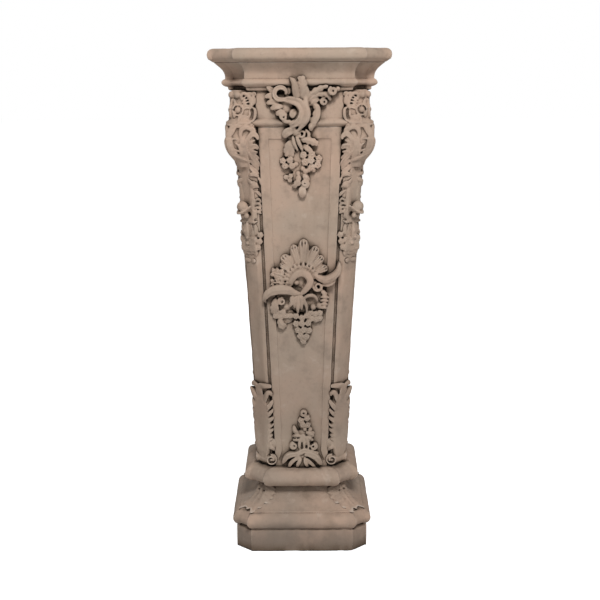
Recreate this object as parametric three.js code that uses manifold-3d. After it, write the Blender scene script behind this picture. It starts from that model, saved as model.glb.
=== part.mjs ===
// A carved and cast pedestal: a stepped base under a tapered shaft with corner consoles, a carved
// front and a moulded cornice. Millimetres, +Z up, front towards -Y, origin under the middle.
import * as THREE from 'three';
import { mergeVertices } from 'three/addons/utils/BufferGeometryUtils.js';
import Module from 'manifold-3d';

const wasm = await Module();
wasm.setup();

// Driving dimensions
const HEIGHT = 1250;
const LIP_REACH = 217.4;
const BASE_HEIGHT = 207;
const JOINT_GAP = 0.3;
const SHAFT_TOP = 1075;
const SHAFT_FOOT_REACH = 108;
const SHAFT_TAPER = 0.0584;
const PANEL_FOOT_HALF = 65.5;
const PANEL_TAPER = 0.0395;
const PANEL_GROOVE_WIDTH = 7;
const PANEL_GROOVE_DEPTH = 9;
const ARRIS = 1;
const CORNER_SETBACK = 4;
const CORNER_CUT = 28;
const FIELD_TOP = 1040;
const FIELD_FOOT = 222;
const FIELD_FLARE_TOP = 248;
const FIELD_FLARE = 9;
const FIELD_FOOT_HALF = 50;
const FIELD_TAPER = 0.0323;
const FIELD_DEPTH = 3.5;
const FIELD_BEVEL = 7;
const FRIEZE_FOOT = 1088;
const FRIEZE_TOP = 1151;
const FRIEZE_REACH = 160;
const FRIEZE_BAY = 104;
const FRIEZE_SETBACK = 7;
const BRACKET_INNER = 104;
const BRACKET_EDGE = 8;
const BRACKET_ROUND = 16;
const BRACKET_ROOT = 36;
const BRACKET_SINK = 8;
const SCROLL_RADIUS = 18;
const SCROLL_LENGTH = 44;
const SCROLL_OUT = 6;
const SCROLL_STEPS = 8;
const BAY_SHARE = 0.7;
const FULLNESS = 0.75;
const SIDES = 4;
const WELD = 1e-4;
const TINY = 1e-9;

const stone = { color: 0xa39383, roughness: 0.88, metalness: 0 };

// Solids
function toSolid(geometry) {
  const bare = geometry.clone();
  bare.deleteAttribute('normal');
  bare.deleteAttribute('uv');
  const merged = mergeVertices(bare, WELD);
  const vertProperties = new Float32Array(merged.attributes.position.array);
  const triVerts = new Uint32Array(merged.index.array);
  if (signedVolume(vertProperties, triVerts) < 0) {
    triVerts.reverse();
  }
  return new wasm.Manifold(new wasm.Mesh({ numProp: 3, vertProperties, triVerts }));
}

function signedVolume(points, triangles) {
  const corner = (i) => new THREE.Vector3().fromArray(points, 3 * triangles[i]);
  let volume = 0;
  for (let i = 0; i < triangles.length; i += 3) {
    volume += corner(i).dot(corner(i + 1).cross(corner(i + 2))) / 6;
  }
  return volume;
}

function toGeometry(solid) {
  const mesh = solid.getMesh();
  const geometry = new THREE.BufferGeometry();
  geometry.setAttribute('position', new THREE.BufferAttribute(new Float32Array(mesh.vertProperties), 3));
  geometry.setIndex(new THREE.BufferAttribute(new Uint32Array(mesh.triVerts), 1));
  geometry.computeVertexNormals();
  return geometry;
}

function union(solids) {
  return solids.reduce((whole, solid) => whole.add(solid));
}

function turned(solid, quarters) {
  return solid.rotate([0, 0, 90 * quarters]);
}

// A closed body through rings of equal length, the lowest first, each anticlockwise from above
function loft(rings) {
  const count = rings[0].length;
  const points = rings.flat(2);
  const triangles = [];
  for (let row = 0; row + 1 < rings.length; row += 1) {
    for (let i = 0; i < count; i += 1) {
      const next = (i + 1) % count;
      const [a, b] = [row * count + i, row * count + next];
      triangles.push(a, b, b + count, a, b + count, a + count);
    }
  }
  const foot = points.length / 3;
  const middle = (ring) => [0, 1, 2].map((axis) => ring.reduce((sum, spot) => sum + spot[axis], 0) / count);
  points.push(...middle(rings[0]), ...middle(rings.at(-1)));
  const last = (rings.length - 1) * count;
  for (let i = 0; i < count; i += 1) {
    const next = (i + 1) % count;
    triangles.push(foot, next, i, foot + 1, last + i, last + next);
  }
  const geometry = new THREE.BufferGeometry();
  geometry.setAttribute('position', new THREE.Float32BufferAttribute(points, 3));
  geometry.setIndex(triangles);
  return toSolid(geometry);
}

function allRound(quarter, z) {
  const ring = [];
  for (let side = 0; side < SIDES; side += 1) {
    for (const [x, y] of quarter) {
      const [px, py] = [[x, y], [-y, x], [-x, -y], [y, -x]][side];
      ring.push([px, py, z]);
    }
  }
  return ring;
}

// One level of a moulding. Each face stands forward over its bay, and the corner is cut at 45 degrees.
function level(z, reach, bay, setback) {
  return { z, reach, bay, setback };
}

function levelRing({ z, reach, bay, setback }) {
  const back = reach - setback;
  return allRound([[reach, -bay], [reach, bay], [back, bay], [bay, back]], z);
}

// Levels between two others, with the reach and the bay swelled or hollowed by shape(t)
function between(low, high, steps, shape) {
  const levels = [];
  for (let i = 0; i <= steps; i += 1) {
    const t = i / steps;
    const swell = shape(t);
    levels.push(level(
      THREE.MathUtils.lerp(low.z, high.z, t),
      THREE.MathUtils.lerp(low.reach, high.reach, t) + swell,
      THREE.MathUtils.lerp(low.bay, high.bay, t) + swell * BAY_SHARE,
      THREE.MathUtils.lerp(low.setback, high.setback, t),
    ));
  }
  return levels;
}

const round = (swell) => (t) => swell * Math.sin(Math.PI * t) ** FULLNESS;
const hollow = (depth) => (t) => -depth * Math.sin(Math.PI * t);

const baseLevels = [
  level(0, 163, 126, 3),
  level(3, 166, 129, 3),
  level(56, 166, 129, 3),
  level(58, 163, 128, 6),
  level(61, 163, 128, 9),
  ...between(level(63, 167, 132, 13), level(99, 163, 130, 14), 3, round(10.5)),
  level(100, 158, 129, 14),
  level(104, 157, 128, 14),
  ...between(level(105, 152, 124, 14), level(153, 107, 85, 13), 3, hollow(10)),
  level(160, 105, 83, 13),
  ...between(level(162, 131, 88, 13), level(203, 132, 88, 13), 3, round(14)),
  level(BASE_HEIGHT - JOINT_GAP / 2, 122, 78, 13),
];

const corniceLevels = [
  level(1067, 157, 108, 6),
  ...between(level(1069, 161, 110, 6), level(1087, 161, 110, 6), 2, round(8)),
  level(FRIEZE_FOOT, FRIEZE_REACH, FRIEZE_BAY, FRIEZE_SETBACK),
  level(FRIEZE_TOP, FRIEZE_REACH, FRIEZE_BAY, FRIEZE_SETBACK),
  level(1153, 168, 122, 14),
  level(1161, 171, 126, 17),
  ...between(level(1162, 176, 128, 20), level(1180, 177, 130, 20), 2, round(9)),
  ...between(level(1181, 177, 130, 20), level(1217, 202, 140, 22), 3, hollow(7)),
  level(1218, 207, 143, 18),
  level(1223.5, 212, 150, 11),
  level(1235.5, LIP_REACH, 155, 11),
  level(1243, 215.8, 153.5, 11),
  level(HEIGHT, 204, 143, 11),
];

// How far the corner blocks stand forward, from below
const CONSOLE_PLAN = [[950, -5], [986, 1], [1000, 11], [1020, 20], [1048, 21], [1073, 12]];
const BLOCK_PLAN = [[1068, 13], [1080, 15], [1087, 9], [1152, 6]];
const BRACKET_FOOT = 996;

// The shaft's own sizes at a height
const shaftReach = (z) => SHAFT_FOOT_REACH + (z - BASE_HEIGHT) * SHAFT_TAPER;
const panelHalf = (z) => PANEL_FOOT_HALF + (z - BASE_HEIGHT) * PANEL_TAPER;
const fieldHalf = (z) => FIELD_FOOT_HALF + (z - FIELD_FLARE_TOP) * FIELD_TAPER;
const pillarReach = (z) => shaftReach(z) - CORNER_SETBACK;

function shaftRing(z) {
  const front = shaftReach(z);
  const pillar = pillarReach(z);
  const floor = front - PANEL_GROOVE_DEPTH;
  const bay = panelHalf(z);
  const far = bay + PANEL_GROOVE_WIDTH;
  const cut = pillar - CORNER_CUT;
  const half = [[front, bay], [floor, bay + ARRIS], [floor, far], [pillar, far + ARRIS], [pillar, cut]];
  const rest = half.slice(1).reverse().map(([x, y]) => [y, x]);
  return allRound([[front, -bay], ...half, ...rest], z);
}

// Charts turn (across, up, out) on a surface into a point of the pedestal
function facePoint(x, z, out) {
  const reach = z > SHAFT_TOP ? FRIEZE_REACH : shaftReach(z);
  return [x, -reach - out, z];
}

function cornerPoint(distance, across, z) {
  return [(distance + across) * Math.SQRT1_2, (across - distance) * Math.SQRT1_2, z];
}

function cornerChart(distanceAt) {
  return (across, z, out) => cornerPoint(distanceAt(z) + out, across, z);
}

const pillarChart = cornerChart((z) => (2 * pillarReach(z) - CORNER_CUT) * Math.SQRT1_2);
const friezeChart = cornerChart(() => (FRIEZE_REACH - FRIEZE_SETBACK + FRIEZE_BAY) * Math.SQRT1_2);
const baseChart = cornerChart((z) => {
  const above = baseLevels.findIndex((one) => one.z > z);
  const [low, high] = [baseLevels[above - 1], baseLevels[above]];
  const t = (z - low.z) / (high.z - low.z);
  const distance = (one) => (one.reach - one.setback + one.bay) * Math.SQRT1_2;
  return THREE.MathUtils.lerp(distance(low), distance(high), t);
});

// The front flank of a corner falls away with the pillar's cut corner below the bracket.
function flankPoint(x, z, out) {
  const cut = z < BRACKET_FOOT ? Math.max(0, x - pillarReach(z) + CORNER_CUT) : 0;
  return facePoint(x, z, out - cut);
}

function sideFlankPoint(x, z, out) {
  const [across, forward, up] = flankPoint(x, z, out);
  return [-forward, -across, up];
}

const flanks = [flankPoint, sideFlankPoint];

// A leaf, ribbon or scroll: a ball drawn out along a path on a chart, with a lobed edge if asked
function blade(chart, path, shape) {
  const { wide, rise, root = 7, lobes = 0, bite = 0.35, taper = 0.5, along = 5, around = 4 } = shape;
  const curve = new THREE.CatmullRomCurve3(path.map((stop) => new THREE.Vector3(...stop)));
  const ball = new THREE.SphereGeometry(1, around, along);
  const spots = ball.attributes.position;
  for (let i = 0; i < spots.count; i += 1) {
    const t = Math.acos(THREE.MathUtils.clamp(spots.getY(i), -1, 1)) / Math.PI;
    const angle = Math.atan2(spots.getZ(i), spots.getX(i));
    const full = Math.max(0, Math.sin(Math.PI * t) - TINY) ** taper;
    const lobe = 1 - bite * (lobes ? Math.cos(Math.PI * lobes * t) ** 2 : 0);
    const middle = curve.getPoint(t);
    const ahead = curve.getTangent(t);
    const side = new THREE.Vector2(-ahead.y, ahead.x).normalize();
    const reach = Math.cos(angle) * wide * full * lobe;
    const lift = Math.sin(angle) * full * (Math.sin(angle) > 0 ? rise : root + middle.z);
    const place = chart(middle.x + side.x * reach, middle.y + side.y * reach, middle.z + lift);
    spots.setXYZ(i, ...place);
  }
  return toSolid(ball);
}

function bud(chart, [x, z, out], size, rise = size, around = 6) {
  const ball = new THREE.SphereGeometry(1, around, 3);
  const spots = ball.attributes.position;
  for (let i = 0; i < spots.count; i += 1) {
    const [px, pz, height] = [spots.getX(i), spots.getY(i), spots.getZ(i)];
    spots.setXYZ(i, ...chart(x + size * px, z + size * pz, out + rise * height));
  }
  return toSolid(ball);
}

// A flower seen from above: a low ball with its pole outwards and its rim drawn in between the petals
function flower(chart, [x, z, out], size, rise, petals, notch = 0.3) {
  const ball = new THREE.SphereGeometry(1, 2 * petals, 3);
  const spots = ball.attributes.position;
  for (let i = 0; i < spots.count; i += 1) {
    const [px, pz, height] = [spots.getX(i), spots.getZ(i), spots.getY(i)];
    const off = (1 - Math.cos(petals * Math.atan2(pz, px))) / 2;
    const reach = size * (1 - notch * off);
    spots.setXYZ(i, ...chart(x + reach * px, z + reach * pz, out + rise * height));
  }
  return toSolid(ball);
}

// Front carving: the crest over the frieze
function crest() {
  const on = facePoint;
  return union([
    blade(on, [[3, 1100, 14], [4, 1150, 26], [3, 1185, 33]], { wide: 13, rise: 9, root: 12 }),
    blade(on, [[-6, 1130, 14], [-12, 1166, 32], [-22, 1182, 36]], { wide: 9, rise: 7, root: 12 }),
    blade(on, [[-18, 1130, 14], [-50, 1132, 15], [-59, 1150, 16], [-40, 1160, 17], [-34, 1142, 13]],
      { wide: 8, rise: 10, along: 8 }),
    blade(on, [[-44, 1104, 8], [-66, 1124, 9], [-76, 1152, 9]], { wide: 12, rise: 9, along: 4 }),
    blade(on, [[-40, 1131, 12], [-2, 1124, 20], [4, 1096, 19], [-24, 1068, 12]],
      { wide: 13, rise: 9, along: 7 }),
    blade(on, [[16, 1122, 14], [34, 1148, 17], [66, 1160, 24], [90, 1156, 20]], { wide: 10, rise: 9 }),
    blade(on, [[16, 1116, 12], [44, 1138, 13], [70, 1132, 9]], { wide: 11, rise: 8, along: 4 }),
    blade(on, [[26, 1128, 9], [38, 1100, 12], [26, 1062, 16]], { wide: 11, rise: 8 }),
    blade(on, [[-36, 1100, 8], [-20, 1066, 12]], { wide: 12, rise: 8, along: 3 }),
    blade(on, [[16, 1130, 16], [18, 1098, 20], [-10, 1054, 16]], { wide: 10, rise: 9 }),
    blade(on, [[-8, 1060, 12], [-30, 1056, 12], [-39, 1042, 8]], { wide: 11, rise: 8 }),
    blade(on, [[0, 1058, 12], [16, 1050, 10], [44, 1028, 8]], { wide: 10, rise: 8 }),
    blade(on, [[-12, 1050, 9], [0, 1010, 7]], { wide: 10, rise: 8, along: 4 }),
    bud(on, [-24, 1018, 4], 14, 11),
    flower(on, [-31, 983, 3], 18, 10, 4),
    flower(on, [24, 988, 3], 30, 11, 5),
    flower(on, [-2, 948, 3], 27, 11, 5),
    bud(on, [4, 914, 3], 12, 9),
  ]);
}

// Front carving: the shell cartouche on the middle of the panel
function cartouche() {
  const on = facePoint;
  const hub = [4, 700];
  const start = 0.38;
  const tips = [[-50, 738], [-44, 760], [-18, 785], [8, 799], [40, 781], [55, 757], [66, 730]];
  const fan = tips.map(([x, z]) => {
    const from = [THREE.MathUtils.lerp(hub[0], x, start), THREE.MathUtils.lerp(hub[1], z, start), 8];
    return blade(on, [from, [x, z, 7]], { wide: 15, rise: 9, along: 3 });
  });
  const clusters = [[-56, 610, 15], [-34, 610, 14], [28, 607, 15], [48, 607, 12]];
  return union([
    ...fan,
    bud(on, [4, 690, 2], 38, 14, 8),
    blade(on, [[-24, 682, 12], [-10, 712, 18], [20, 708, 20], [12, 676, 17], [-2, 660, 13]],
      { wide: 10, rise: 10, along: 8 }),
    blade(on, [[28, 714, 12], [60, 700, 20], [90, 720, 28], [94, 744, 28]],
      { wide: 10, rise: 10, along: 7 }),
    blade(on, [[0, 664, 14], [-32, 675, 20], [-78, 667, 20], [-92, 648, 15]],
      { wide: 10, rise: 9, along: 7 }),
    blade(on, [[-28, 696, 8], [-76, 704, 6]], { wide: 20, rise: 8, lobes: 3, bite: 0.25 }),
    bud(on, [-46, 645, 4], 13, 13),
    bud(on, [42, 682, 6], 15, 16),
    bud(on, [38, 640, 3], 20, 13),
    blade(on, [[58, 658, 8], [58, 620, 6]], { wide: 12, rise: 8, along: 3 }),
    blade(on, [[-6, 664, 12], [-2, 600, 8]], { wide: 15, rise: 10, along: 4 }),
    ...clusters.map(([x, z, size]) => flower(on, [x, z, 3], size, 11, 4)),
    blade(on, [[-63, 652, 6], [-66, 614, 4]], { wide: 10, rise: 8, along: 4 }),
    flower(on, [3, 592, 3], 24, 11, 4),
    flower(on, [6, 560, 3], 20, 11, 4),
  ]);
}

// Front carving: the spray at the foot of the panel
function spray() {
  const on = facePoint;
  return union([
    bud(on, [5, 355, 3], 10, 9),
    flower(on, [7, 330, 3], 16, 10, 4),
    bud(on, [9, 306, 4], 14, 12),
    blade(on, [[-6, 300, 6], [-22, 284, 8], [-20, 256, 6]], { wide: 9, rise: 8 }),
    blade(on, [[12, 300, 6], [30, 280, 8], [32, 256, 6]], { wide: 9, rise: 8 }),
    blade(on, [[4, 240, 9], [-32, 244, 11], [-50, 214, 6]], { wide: 10, rise: 8 }),
    blade(on, [[0, 240, 9], [34, 244, 11], [52, 212, 8]], { wide: 10, rise: 8 }),
    blade(on, [[5, 304, 7], [5, 214, 8]], { wide: 14, rise: 8, along: 4 }),
  ]);
}

// A square corner block that stands forward of both faces, as far as its plan [height, out] gives
function bracket(plan) {
  return loft(plan.map(([z, out]) => {
    const front = -facePoint(0, z, out)[1];
    const near = front - out - BRACKET_SINK;
    const edge = BRACKET_INNER + BRACKET_EDGE;
    const spots = [[BRACKET_INNER, near], [edge, front], [front - BRACKET_ROUND, front]];
    const mirrored = spots.map(([x, y]) => [y, x]).reverse();
    const root = near - BRACKET_ROOT;
    return [[root, root], ...spots, ...mirrored].map(([x, y]) => [x, -y, z]);
  }));
}

// One corner of the frieze: a shell round a boss on each flank, and a ledge below
function friezeBlock() {
  const shells = flanks.map((on) => bud(on, [132, 1116, 3], 25, 9));
  return union([
    bracket(BLOCK_PLAN),
    bud(pillarChart, [0, 1142, -16], 13, 13),
    ...shells,
  ]);
}

// The console under it: a bulging bracket with leaves on each flank. Only the front has a garland.
function cornerConsole(garlanded) {
  const leaves = flanks.flatMap((on) => [
    blade(on, [[142, 1050, 14], [110, 1062, 12]], { wide: 10, rise: 8, along: 3 }),
    blade(on, [[122, 1050, 6], [108, 1012, 8], [102, 958, 0]], { wide: 15, rise: 7, lobes: 3, along: 7 }),
    blade(on, [[128, 948, 0], [97, 940, 3]], { wide: 14, rise: 9, along: 3 }),
    blade(on, [[110, 926, 0], [103, 892, 3], [104, 856, 1]], { wide: 11, rise: 6, along: 4 }),
  ]);
  const garland = () => [
    ...flanks.map((on) => blade(on, [[100, 818, 0], [108, 766, 1]], { wide: 14, rise: 8, along: 3 })),
    blade(pillarChart, [[-25, 845, 2], [25, 845, 2]], { wide: 9, rise: 14, along: 3 }),
    bud(pillarChart, [0, 874, 10], 15, 15),
    bud(pillarChart, [0, 812, 1], 22, 9),
    blade(pillarChart, [[0, 780, 0], [0, 732, 0]], { wide: 9, rise: 7, along: 3 }),
  ];
  return union([bracket(CONSOLE_PLAN), ...leaves, ...(garlanded ? garland() : [])]);
}

// The leaf that stands on a scroll at the foot of a corner, with a volute on each flank
function footLeaf() {
  const on = pillarChart;
  const height = BASE_HEIGHT + JOINT_GAP / 2 + SCROLL_RADIUS;
  const roll = new THREE.CylinderGeometry(SCROLL_RADIUS, SCROLL_RADIUS, SCROLL_LENGTH, SCROLL_STEPS);
  const spots = roll.attributes.position;
  for (let i = 0; i < spots.count; i += 1) {
    spots.setXYZ(i, ...on(spots.getY(i), height + spots.getX(i), spots.getZ(i) + SCROLL_OUT));
  }
  const onFlanks = flanks.flatMap((flank) => [
    bud(flank, [77, height, -8], SCROLL_RADIUS, 14),
    blade(flank, [[98, 380, 3], [124, 414, 12]], { wide: 9, rise: 7, along: 3 }),
  ]);
  return union([
    toSolid(roll),
    ...onFlanks,
    blade(on, [[0, 410, 0], [0, 330, 1], [0, 240, 8]],
      { wide: 33, rise: 9, lobes: 3, bite: 0.2, taper: 0.35, along: 7 }),
  ]);
}

// The leaf that lies on the hollow of the base at a corner
function baseLeaf() {
  const path = [[0, 160, 6], [0, 132, 7], [0, 101, 6]];
  return blade(baseChart, path, { wide: 19, rise: 6, lobes: 2, bite: 0.2, taper: 0.35 });
}

// The sunk field of the front panel, as the body that is cut away
function fieldCut() {
  const outline = (inset, out) => {
    const foot = FIELD_FOOT + inset;
    const top = FIELD_TOP - inset;
    const spots = [
      [fieldHalf(FIELD_FLARE_TOP) + FIELD_FLARE - inset, foot],
      [fieldHalf(FIELD_FLARE_TOP) - inset, FIELD_FLARE_TOP],
      [fieldHalf(top) - inset, top],
    ];
    const mirrored = spots.map(([x, z]) => [-x, z]).reverse();
    return [...spots, ...mirrored].map(([x, z]) => facePoint(x, z, out));
  };
  const proud = 1;
  const inner = outline(FIELD_BEVEL, -FIELD_DEPTH);
  const outer = outline(-FIELD_BEVEL * (proud / FIELD_DEPTH), proud);
  const count = inner.length;
  const triangles = [];
  for (let i = 0; i < count; i += 1) {
    const next = (i + 1) % count;
    triangles.push(i, next, next + count, i, next + count, i + count);
  }
  const strips = [[0, 1, 4, 5], [1, 2, 3, 4]];
  for (const [a, b, c, d] of strips) {
    triangles.push(a, c, b, a, d, c);
    triangles.push(a + count, b + count, c + count, a + count, c + count, d + count);
  }
  const geometry = new THREE.BufferGeometry();
  geometry.setAttribute('position', new THREE.Float32BufferAttribute([...inner, ...outer].flat(), 3));
  geometry.setIndex(triangles);
  return toSolid(geometry);
}

function everySide(solid) {
  return Array.from({ length: SIDES }, (_, side) => turned(solid, side));
}

function baseSolid() {
  const body = loft(baseLevels.map(levelRing));
  return union([body, ...everySide(baseLeaf())]);
}

function shaftSolid() {
  const foot = BASE_HEIGHT + JOINT_GAP / 2;
  const column = loft([shaftRing(foot), shaftRing(SHAFT_TOP)]);
  const panelled = everySide(fieldCut()).reduce((whole, cut) => whole.subtract(cut), column);
  const cornice = loft(corniceLevels.map(levelRing));
  const corners = Array.from({ length: SIDES }, (_, side) => {
    const isFront = side === 0 || side === SIDES - 1;
    return turned(union([friezeBlock(), cornerConsole(isFront), footLeaf()]), side);
  });
  return union([panelled.add(cornice), ...corners, crest(), cartouche(), spray()]);
}

function piece(name, solid) {
  const mesh = new THREE.Mesh(toGeometry(solid), new THREE.MeshStandardMaterial(stone));
  mesh.name = name;
  return mesh;
}

const pedestal = new THREE.Group();
pedestal.add(piece('base', baseSolid()));
pedestal.add(piece('shaft', shaftSolid()));

export default pedestal;
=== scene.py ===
import math

import bpy
import numpy as np
from mathutils import Matrix, Vector, noise


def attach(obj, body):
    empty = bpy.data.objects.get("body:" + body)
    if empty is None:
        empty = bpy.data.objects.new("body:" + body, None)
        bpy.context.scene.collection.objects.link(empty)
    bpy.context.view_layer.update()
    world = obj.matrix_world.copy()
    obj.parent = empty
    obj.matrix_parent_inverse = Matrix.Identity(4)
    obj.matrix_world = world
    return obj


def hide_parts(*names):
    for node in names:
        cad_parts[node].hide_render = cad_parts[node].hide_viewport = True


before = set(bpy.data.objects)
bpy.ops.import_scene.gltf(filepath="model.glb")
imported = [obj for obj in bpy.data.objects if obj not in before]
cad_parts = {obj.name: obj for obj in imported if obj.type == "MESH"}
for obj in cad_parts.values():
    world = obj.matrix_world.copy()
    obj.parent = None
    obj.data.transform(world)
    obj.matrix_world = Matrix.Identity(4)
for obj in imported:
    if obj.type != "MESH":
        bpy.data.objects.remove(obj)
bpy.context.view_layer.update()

# A carved and cast pedestal. Lengths in the charts and profiles are millimetres, and metres in the meshes.
MM = 0.001
HEIGHT = 1250.0
BASE_HEIGHT = 207.0
JOINT_GAP = 0.3
LIP_REACH = 217.4
SHAFT_TOP = 1075.0
SHAFT_FOOT_REACH = 108.0
SHAFT_TAPER = 0.0584
PANEL_FOOT_HALF = 65.5
PANEL_TAPER = 0.0395
PANEL_GROOVE_WIDTH = 7.0
PANEL_GROOVE_DEPTH = 9.0
CORNER_SETBACK = 4.0
CORNER_CUT = 28.0
DIAGONAL = math.sqrt(0.5)
FIELD_TOP = 1040.0
FIELD_FOOT = 222.0
FIELD_FLARE_TOP = 248.0
FIELD_FLARE = 9.0
FIELD_FOOT_HALF = 50.0
FIELD_TAPER = 0.0323
FIELD_DEPTH = 3.5
FIELD_BEVEL = 7.0
# The field's edge: share of its depth at each distance from its outline
FIELD_STEP = [(0, 0), (0.2, 0.06), (1.0, 0.55), (1.3, 0.63), (3.5, 0.85), (FIELD_BEVEL, 1)]
FRIEZE_FOOT = 1088.0
FRIEZE_TOP = 1151.0
FRIEZE_REACH = 160.0
FRIEZE_BAY = 104.0
FRIEZE_SETBACK = 7.0

# The camera that the picture was taken with
CAMERA_PLACE = (-0.0017, -2.860, 1.181)
CAMERA_PITCH = math.radians(11.12)
CAMERA_ROLL = math.radians(-0.29)
CAMERA_LENS = 67.74
CAMERA_SENSOR = 36


# Operator helpers
def deselect():
    if bpy.context.object and bpy.context.object.mode != "OBJECT":
        bpy.ops.object.mode_set(mode="OBJECT")
    bpy.ops.object.select_all(action="DESELECT")


def pick(*pieces):
    deselect()
    for piece in pieces:
        piece.select_set(True)
    bpy.context.view_layer.objects.active = pieces[-1]


def finish_with(piece, kind, **settings):
    modifier = piece.modifiers.new(kind.title(), kind)
    for name, value in settings.items():
        setattr(modifier, name, value)
    pick(piece)
    bpy.ops.object.modifier_apply(modifier=modifier.name)


def joined(name, pieces):
    pick(*pieces)
    if len(pieces) > 1:
        bpy.ops.object.join()
    whole = bpy.context.object
    whole.name = name
    whole.data.name = name
    return whole


def place_points(piece, points):
    piece.data.vertices.foreach_set("co", (np.asarray(points) * MM).ravel())
    piece.data.update()


def wrapped_grid(name, points):
    """A primitive grid laid over rows of points, each a ring, welded into a closed skin."""
    rows, columns = points.shape[:2]
    deselect()
    bpy.ops.mesh.primitive_grid_add(x_subdivisions=columns, y_subdivisions=rows - 1, size=1)
    piece = bpy.context.object
    piece.name = name
    flat = np.empty(len(piece.data.vertices) * 3)
    piece.data.vertices.foreach_get("co", flat)
    flat = flat.reshape(-1, 3)
    column = np.rint((flat[:, 0] + 0.5) * columns).astype(int) % columns
    row = np.rint((flat[:, 1] + 0.5) * (rows - 1)).astype(int)
    place_points(piece, points[row, column])
    bpy.ops.object.mode_set(mode="EDIT")
    bpy.ops.mesh.select_all(action="SELECT")
    bpy.ops.mesh.remove_doubles(threshold=1e-6)
    bpy.ops.mesh.select_all(action="DESELECT")
    bpy.ops.mesh.select_mode(type="EDGE")
    bpy.ops.mesh.select_non_manifold(extend=False)
    bpy.ops.mesh.edge_face_add()
    bpy.ops.mesh.select_all(action="SELECT")
    bpy.ops.mesh.normals_make_consistent(inside=False)
    bpy.ops.object.mode_set(mode="OBJECT")
    return piece


# Routes: a smooth line through stops, read at even steps of its length
def route(stops, count):
    stops = np.asarray(stops, dtype=float)
    if len(stops) == 2:
        fine = stops[0] + np.linspace(0, 1, 40)[:, None] * (stops[1] - stops[0])
    else:
        padded = np.vstack([2 * stops[0] - stops[1], stops, 2 * stops[-1] - stops[-2]])
        t = np.linspace(0, 1, 24, endpoint=False)[:, None]
        spans = []
        for a, b, c, d in zip(padded, padded[1:], padded[2:], padded[3:]):
            spans.append(0.5 * (2 * b + (c - a) * t + (2 * a - 5 * b + 4 * c - d) * t**2
                                + (3 * b - a - 3 * c + d) * t**3))
        fine = np.vstack(spans + [stops[-1:]])
    length = np.r_[0, np.cumsum(np.linalg.norm(np.diff(fine, axis=0), axis=1))]
    at = np.linspace(0, length[-1], count)
    line = np.stack([np.interp(at, length, fine[:, axis]) for axis in range(3)], axis=1)
    ahead = np.gradient(line, axis=0)
    return line, ahead / np.maximum(np.linalg.norm(ahead, axis=1), 1e-9)[:, None]


# Charts turn (across, up, out) on a surface into a point
def shaft_reach(z):
    return SHAFT_FOOT_REACH + (z - BASE_HEIGHT) * SHAFT_TAPER


def panel_half(z):
    return PANEL_FOOT_HALF + (z - BASE_HEIGHT) * PANEL_TAPER


def field_half(z):
    return FIELD_FOOT_HALF + (z - FIELD_FLARE_TOP) * FIELD_TAPER


def face_chart(x, z, out):
    reach = np.where(z > SHAFT_TOP, FRIEZE_REACH, shaft_reach(z))
    return np.stack([x, -reach - out, z], axis=-1)


def corner_point(distance, across, z):
    """The point at a distance out along the right front diagonal, and at another across it."""
    return np.stack([(distance + across) * DIAGONAL, (across - distance) * DIAGONAL, z], axis=-1)


def pillar_chart(across, z, out):
    distance = (2 * (shaft_reach(z) - CORNER_SETBACK) - CORNER_CUT) * DIAGONAL
    return corner_point(distance + out, across, z)


def beside(chart):
    """A front chart's twin on the right-hand face, mirrored over the corner."""
    def side(x, z, out):
        across, forward, up = np.moveaxis(chart(x, z, out), -1, 0)
        return np.stack([-forward, -across, up], axis=-1)
    return side


# Mouldings
def between(low, high, steps, swell, power=0.75):
    """Levels from low to high, swelled by a round of that depth, or hollowed where it is negative."""
    t = np.linspace(0, 1, steps + 1)
    shape = np.sin(math.pi * t) ** (power if swell > 0 else 1.0) * swell
    rows = np.outer(1 - t, low) + np.outer(t, high)
    rows[:, 1] += shape
    rows[:, 2] += shape * 0.7
    return [tuple(row) for row in rows]


# Levels of a moulding: height, reach of the bays, half width of a bay and setback of the corners
BASE_LEVELS = [
    (0, 163, 126, 3), (0.8, 165, 128, 3), (3, 166, 129, 3), (55, 166, 129, 3),
    (57, 164.6, 128.5, 5), (58, 163, 128, 6), (61, 163, 128, 9),
    *between((63, 167, 132, 13), (99, 163, 130, 14), 14, 10.5),
    (100, 158, 129, 14), (103.4, 157.4, 128.5, 14), (104.2, 156.4, 128, 14),
    *between((105, 152, 124, 14), (153, 107, 85, 13), 14, -10),
    (160, 105, 83, 13), (161.5, 127, 87, 13),
    *between((162, 131, 88, 13), (203, 132, 88, 13), 16, 14),
    (205.5, 124, 80, 13), (BASE_HEIGHT - JOINT_GAP / 2, 122, 78, 13),
]

CORNICE_LEVELS = [
    (1067, 157, 108, 6),
    *between((1069, 161, 110, 6), (1087, 161, 110, 6), 10, 8),
    (FRIEZE_FOOT, FRIEZE_REACH, FRIEZE_BAY, FRIEZE_SETBACK),
    (FRIEZE_TOP, FRIEZE_REACH, FRIEZE_BAY, FRIEZE_SETBACK),
    (1153, 168, 122, 14), (1154, 170, 124, 15), (1155.5, 171, 125, 16), (1161, 171, 126, 17),
    *between((1162, 176, 128, 20), (1180, 177, 130, 20), 10, 9),
    *between((1181, 177, 130, 20), (1217, 202, 140, 22), 12, -7),
    (1217.6, 200, 139, 21), (1218.6, 205, 142, 18), (1223.5, 212, 150, 11), (1225, 214.5, 152.5, 11),
    (1229, 216.3, 154.2, 11), (1235.5, LIP_REACH, 155, 11), (1243, 215.8, 153.5, 11),
    (1247.5, 211.5, 150, 11), (1249.6, 206, 145, 11), (HEIGHT, 202, 142, 11),
]
# Steps over a bay and over a cut corner, and the round of an arris
BAY_STEPS = 40
CANT_STEPS = 6
ARRIS = 1.1


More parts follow.
